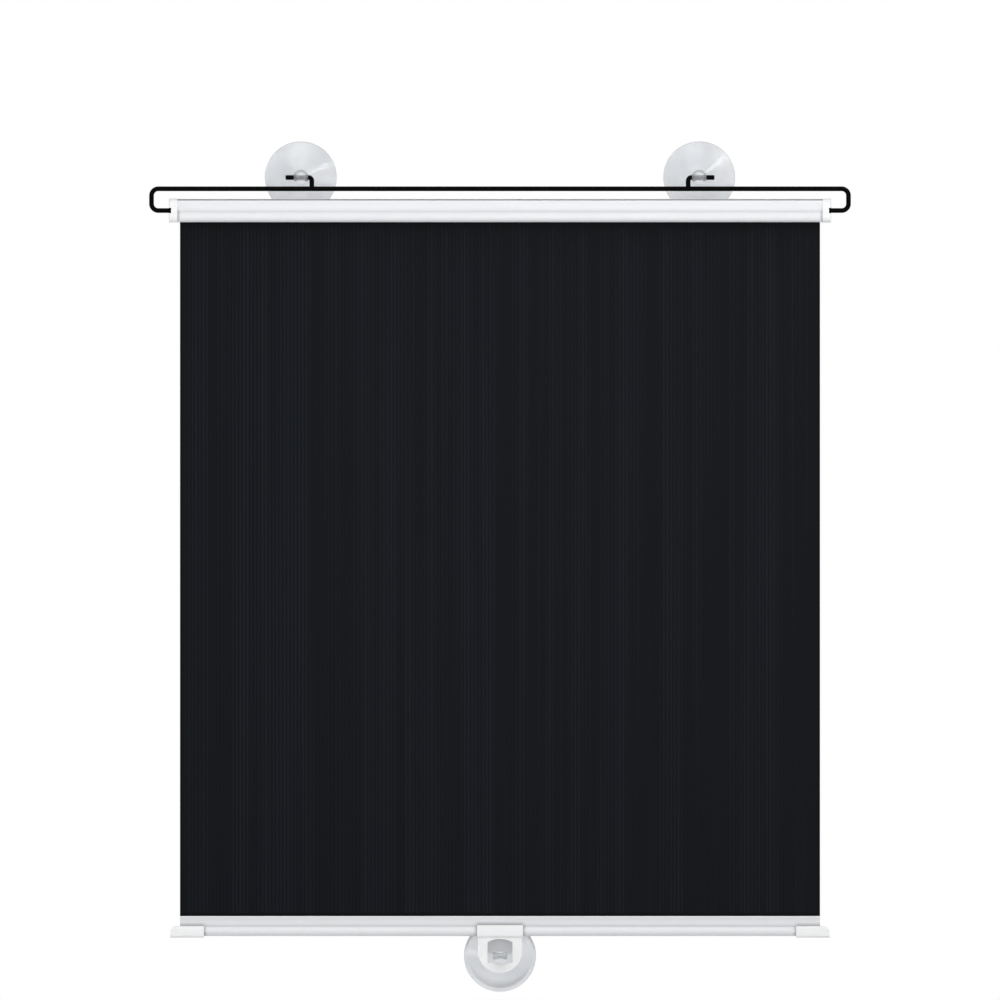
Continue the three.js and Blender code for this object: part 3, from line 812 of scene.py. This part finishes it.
def film_section(half, back):
    """The film's section as (x, y): ribs of uneven depth in front, flat behind, flat narrow hems."""
    count = round(2 * (half - HEM_WIDTH) / RIB_PITCH)
    pitch = 2 * (half - HEM_WIDTH) / count
    hem = RIB * HEM_SHARE
    front = [(-half, 0.0), (-half + HEM_EASE, hem), (-half + HEM_WIDTH - HEM_STEP, hem)]
    for i in range(count):
        centre = -half + HEM_WIDTH + (i + 0.5) * pitch
        for k in range(RIB_STEPS):
            share = k / RIB_STEPS
            front.append((centre + (share - 0.5) * pitch, rib_depth(i, share)))
    front += [(half - HEM_WIDTH + HEM_STEP, hem), (half - HEM_EASE, hem), (half, 0.0)]
    rear = [(half * share, back) for share in (1, 0.5, 0, -0.5, -1)]
    return [(x, back - FILM - depth) for x, depth in front] + rear


def film_stations(top, bottom, back):
    """Stations down the film: a bend inside the housing, then straight down to the rail."""
    top_y, low_y = fabric_low[1] + back, fabric_high[1] - back
    drops = [BEND_DROP * i / BEND_ROWS for i in range(BEND_ROWS)]
    drops += [BEND_DROP + (top - bottom - BEND_DROP) * i / FILM_ROWS for i in range(FILM_ROWS + 1)]
    stations = []
    for drop in drops:
        share = max(0.0, 1 - drop / BEND_DROP)
        y = low_y + (top_y - low_y) * share * share
        stations.append(lambda o, y=y, z=top - drop: [(x, y + d, z) for x, d in o])
    return stations


def make_fabric():
    """The shade film, which bends from the roller to the slot and then hangs straight."""
    half = (fabric_high[0] - fabric_low[0]) / 2
    top, bottom = fabric_high[2], fabric_low[2]
    back = (FILM + RIB) / 2
    shape = shell(film_section(half, back), film_stations(top, bottom, back))
    film = new_piece("shade_film", shape, SHADE, "cassette", "shade_fabric", 60)
    layer = film.data.uv_layers.new(name="film")
    for loop in film.data.loops:
        x, _, z = film.data.vertices[loop.vertex_index].co
        layer.data[loop.index].uv = (x, top * MM - z)
    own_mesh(film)


def rail_outline():
    """The rail's section as (y, z): two lips, a strip and a hollow bead."""
    meet = math.degrees(math.asin(STRIP_HALF / BEAD))
    mouth = math.degrees(math.asin(RAIL_SLIT_HALF / BEAD_BORE))
    top = rail_high[2]
    step = top - STRIP_LIP_HEIGHT
    shoulder = step - (STRIP_LIP_HALF - STRIP_HALF)
    edge = STRIP_LIP_EDGE
    right = [(RAIL_SLIT_HALF, top), (STRIP_LIP_HALF - edge, top), (STRIP_LIP_HALF, top - edge)]
    right += [(STRIP_LIP_HALF, step), (STRIP_HALF, shoulder)]
    outline = [(RAIL_Y + y, z) for y, z in right]
    outline += arc(RAIL_Y, BEAD_Z, BEAD, 90 - meet, meet - 270, 48)
    outline += [(RAIL_Y - y, z) for y, z in reversed(right)]
    outline += arc(RAIL_Y, BEAD_Z, BEAD_BORE, 90 + mouth, 450 - mouth, 32)
    return tidy(outline)


def make_rail():
    """The bar along the film's lower hem."""
    shape = along_x(rail_outline(), rail_low[0], rail_high[0], 6)
    new_piece("rail_strip", shape, EXTRUSION, "bottom_bar", "bottom_rail", 50)


def rail_cutter(start, end):
    """The rail's outside, grown by the sleeves' clearance."""
    radius = BEAD + SLEEVE_GAP
    strip = STRIP_HALF + SLEEVE_GAP
    meet = math.degrees(math.asin(strip / radius))
    top = rail_high[2]
    outline = [(RAIL_Y + strip, top)]
    outline += arc(RAIL_Y, BEAD_Z, radius, 90 - meet, meet - 270, 40)
    outline += [(RAIL_Y - strip, top)]
    return along_x(tidy(outline), start, end)


def make_rail_plug(side):
    """A rail plug: a sleeve open above for the strip and a nose with its upper outer corner cut back."""
    outer = BEAD + SLEEVE_GAP + SLEEVE_WALL
    top = BEAD_Z + BEAD
    start, end = plug_low[0], plug_high[0]
    corners = (SLEEVE_CORNER, SLEEVE_CORNER)
    section = rounded_box(RAIL_Y - outer, RAIL_Y + outer, BEAD_Z - outer, top, *corners)
    nose = [(end - NOSE_CUT, top + 2 * SPARE), (end - NOSE_CUT, top), (end, top - NOSE_CUT)]
    nose += [(end + SPARE, top - NOSE_CUT), (end + SPARE, top + 2 * SPARE)]
    corner = along_y(nose, RAIL_Y - 2 * outer, RAIL_Y + 2 * outer)
    sleeve = rail_cutter(start - SPARE, rail_high[0] + SLEEVE_GAP)
    shape = carved("plug", along_x(section, start, end), [("DIFFERENCE", sleeve), ("DIFFERENCE", corner)])
    shape = mirrored(shape, sign_of(side))
    name = "rail_end_plug_" + side
    plug = new_piece(name, shape, MOULDING, "bottom_bar", "rail_plug_" + side)
    bevel(plug, PLUG_EDGE)


def tab_plate(outer):
    """The tab's plate: round below, with small fillets below the clip."""
    half = TAB_WIDTH / 2
    top = BEAD_Z - BEAD - SLEEVE_GAP
    shoulder, fillet = tab_high[0] - TAB_FILLET / 4, BEAD_Z - outer
    outline = [(-shoulder, top), (-shoulder, fillet)]
    outline += quadratic((-shoulder, fillet), (-half, fillet), (-half, fillet - TAB_FILLET), 8)
    outline += arc(0, tab_low[2] + half, half, 180, 360, 40)
    outline += quadratic((half, fillet - TAB_FILLET), (half, fillet), (shoulder, fillet), 8)
    outline += [(shoulder, top)]
    return along_y(tidy(outline), -TAB_STAND_OFF - TAB_THICKNESS, -TAB_STAND_OFF)


def tab_window():
    """The window through the plate, with an arched top."""
    width, height = TAB_WINDOW
    low = tab_low[2] + TAB_RIM
    side, corner = width / 2, TAB_WINDOW_CORNER
    springing = low + height - TAB_ARCH
    outline = arc(corner - side, low + corner, corner, 180, 270, 6)
    outline += arc(side - corner, low + corner, corner, 270, 360, 6)
    outline += quadratic((side, springing), (0, springing + 2 * TAB_ARCH), (-side, springing), 20)
    return along_y(tidy(outline), -TAB_STAND_OFF - 2 * TAB_THICKNESS, -TAB_STAND_OFF + TAB_THICKNESS)


def make_tab():
    """The pull tab: clip round the bead, D-shaped plate and arched window."""
    outer = BEAD + SLEEVE_GAP + SLEEVE_WALL
    top = tab_high[2]
    radii = (SLEEVE_CORNER, (top - BEAD_Z + outer) / 2 - 0.1)
    section = rounded_box(RAIL_Y - outer, RAIL_Y + outer, BEAD_Z - outer, top, *radii, 12)
    clip = along_x(tidy(section), tab_low[0], tab_high[0])
    bead = rail_cutter(2 * tab_low[0], 2 * tab_high[0])
    steps = [("UNION", tab_plate(outer)), ("DIFFERENCE", tab_window()), ("DIFFERENCE", bead)]
    shape = carved("tab", clip, steps)
    tab = new_piece("pull_tab_blade", shape, MOULDING, "bottom_bar", "pull_tab")
    bevel(tab, TAB_EDGE, 4)


def dress_cad_nodes():
    """Materials for the CAD nodes that stay as they are."""
    finishes = {
        MOULDING: ["spring_anchor", "spring_plug", "idler_plug", "hem_rod"],
        ZINC: ["spring_shaft", "idler_pin", "roller_tube"],
        SPRING: ["torsion_spring"],
        SHADE: ["fabric_turns"],
    }
    for material, names in finishes.items():
        for name in names:
            obj = frame["nodes"][name]
            obj.data.materials.clear()
            obj.data.materials.append(material)
            for face in obj.data.polygons:
                face.use_smooth = True
            obj.data.set_sharp_from_angle(angle=math.radians(35))


# Camera, light and surroundings
def make_camera():
    """A straight front view that frames the object as the picture does."""
    camera = bpy.data.cameras.new("camera")
    camera.type = "ORTHO"
    camera.ortho_scale = VIEW_WIDTH * MM
    camera.clip_start, camera.clip_end = 0.01, 20
    obj = bpy.data.objects.new("camera", camera)
    scale = VIEW_WIDTH / PICTURE_ROWS
    obj.location = (0, -2.0, (CUPS_ROW - PICTURE_ROWS / 2) * scale * MM)
    obj.rotation_euler = (math.radians(90), 0, 0)
    bpy.context.scene.collection.objects.link(obj)
    bpy.context.scene.camera = obj


def new_lamp(name, size, power):
    """A soft rectangular lamp that the camera doesn't see."""
    lamp = bpy.data.lights.new(name, "AREA")
    lamp.shape = "RECTANGLE"
    lamp.size, lamp.size_y = size
    lamp.energy = power
    obj = bpy.data.objects.new(name, lamp)
    obj.visible_camera = False
    bpy.context.scene.collection.objects.link(obj)
    return obj


def make_lamp(name, location, target, size, power):
    """A lamp that points at a target."""
    obj = new_lamp(name, size, power)
    obj.location = location
    obj.rotation_euler = (Vector(target) - Vector(location)).to_track_quat("-Z", "Y").to_euler()


def make_strip(name, plan, power):
    """A narrow lamp that runs towards the viewer, beside the object: it draws radial streaks on the cups."""
    obj = new_lamp(name, (0.56, 0.11), power)
    facing = Vector((-plan[0], 0, -plan[1])).normalized()
    along = Vector((0, -1, 0))
    across = along.cross(facing)
    turn = Matrix((along, across, facing * -1)).transposed()
    obj.matrix_world = Matrix.Translation((plan[0], -0.62, plan[1])) @ turn.to_4x4()


def white_where_seen(tree, lit, seen):
    """A strength: `seen` for rays from the camera, in gloss and through glass, and `lit` for the rest."""
    path = tree.nodes.new("ShaderNodeLightPath")
    either = math_node(tree, "MAXIMUM", path.outputs["Is Camera Ray"], path.outputs["Is Glossy Ray"])
    shown = math_node(tree, "MAXIMUM", either, path.outputs["Is Transmission Ray"])
    strength = tree.nodes.new("ShaderNodeMapRange")
    strength.inputs["To Min"].default_value = lit
    strength.inputs["To Max"].default_value = seen
    tree.links.new(shown, strength.inputs["Value"])
    return strength.outputs["Result"]


def make_world():
    """A white world that lights softly."""
    world = bpy.data.worlds.new("studio")
    world.use_nodes = True
    bpy.context.scene.world = world
    tree = world.node_tree
    background = tree.nodes["Background"]
    background.inputs["Color"].default_value = (1, 1, 1, 1)
    tree.links.new(white_where_seen(tree, 0.36, 1.0), background.inputs["Strength"])


def make_lamps():
    """A large key from above, a fill from the right, a weak front light and two strips for the cups."""
    make_lamp("key", (-0.5, -1.5, 1.8), (0, 0, -0.25), (2.0, 1.2), 19)
    make_lamp("fill", (0.9, -1.6, -0.35), (0, 0, -0.35), (0.9, 0.9), 5)
    make_lamp("front", (0, -1.2, -0.12), (0, 0, -0.12), (0.9, 0.24), 1.8)
    make_strip("upper_streak", (0.552, 0.33), 1.8)
    make_strip("lower_streak", (-0.6, -0.41), 1.1)


def floor_material():
    """A pale matt floor that looks white in gloss, and less so through the clear cups."""
    material, tree, shader = node_material("pale_floor")
    shader.inputs["Base Color"].default_value = (0.9, 0.9, 0.9, 1)
    shader.inputs["Roughness"].default_value = 0.7
    shader.inputs["Specular IOR Level"].default_value = 0.0
    path = tree.nodes.new("ShaderNodeLightPath")
    through_clear = math_node(tree, "MULTIPLY", path.outputs["Is Transmission Ray"], -0.7)
    share = math_node(tree, "ADD", through_clear, 1.0)
    whiteness = math_node(tree, "MULTIPLY", path.outputs["Is Glossy Ray"], share)
    white = tree.nodes.new("ShaderNodeEmission")
    mix = tree.nodes.new("ShaderNodeMixShader")
    tree.links.new(whiteness, mix.inputs[0])
    tree.links.new(shader.outputs["BSDF"], mix.inputs[1])
    tree.links.new(white.outputs["Emission"], mix.inputs[2])
    tree.links.new(mix.outputs["Shader"], tree.nodes["Material Output"].inputs["Surface"])
    return material


def make_floor():
    """A pale floor below the object that keeps its shadow."""
    half = 3.0
    level = cad_low[2] - 0.06
    corners = [(-half, -half, level), (half, -half, level), (half, half, level), (-half, half, level)]
    mesh = bpy.data.meshes.new("floor")
    mesh.from_pydata(corners, [], [(0, 1, 2, 3)])
    mesh.materials.append(floor_material())
    floor = bpy.data.objects.new("floor", mesh)
    bpy.context.scene.collection.objects.link(floor)


bpy.context.scene.view_settings.view_transform = "Standard"
make_camera()
make_world()
make_lamps()
make_floor()
make_housing()
for side in ("left", "right"):
    make_cap(side)
make_wire()
for side in ("left", "right"):
    make_hook(side)
make_cup("cup_left_clear", "suction_cup_left", "cup_left", (-CUP_X, 0, 0))
make_cup("cup_right_clear", "suction_cup_right", "cup_right", (CUP_X, 0, 0))
lower_centre = (0, 0, (lower_cup_low[2] + lower_cup_high[2]) / 2)
make_cup("cup_lower_clear", "suction_cup_lower", "bottom_bar", lower_centre)
make_rail()
for side in ("left", "right"):
    make_rail_plug(side)
make_tab()
make_fabric()
dress_cad_nodes()
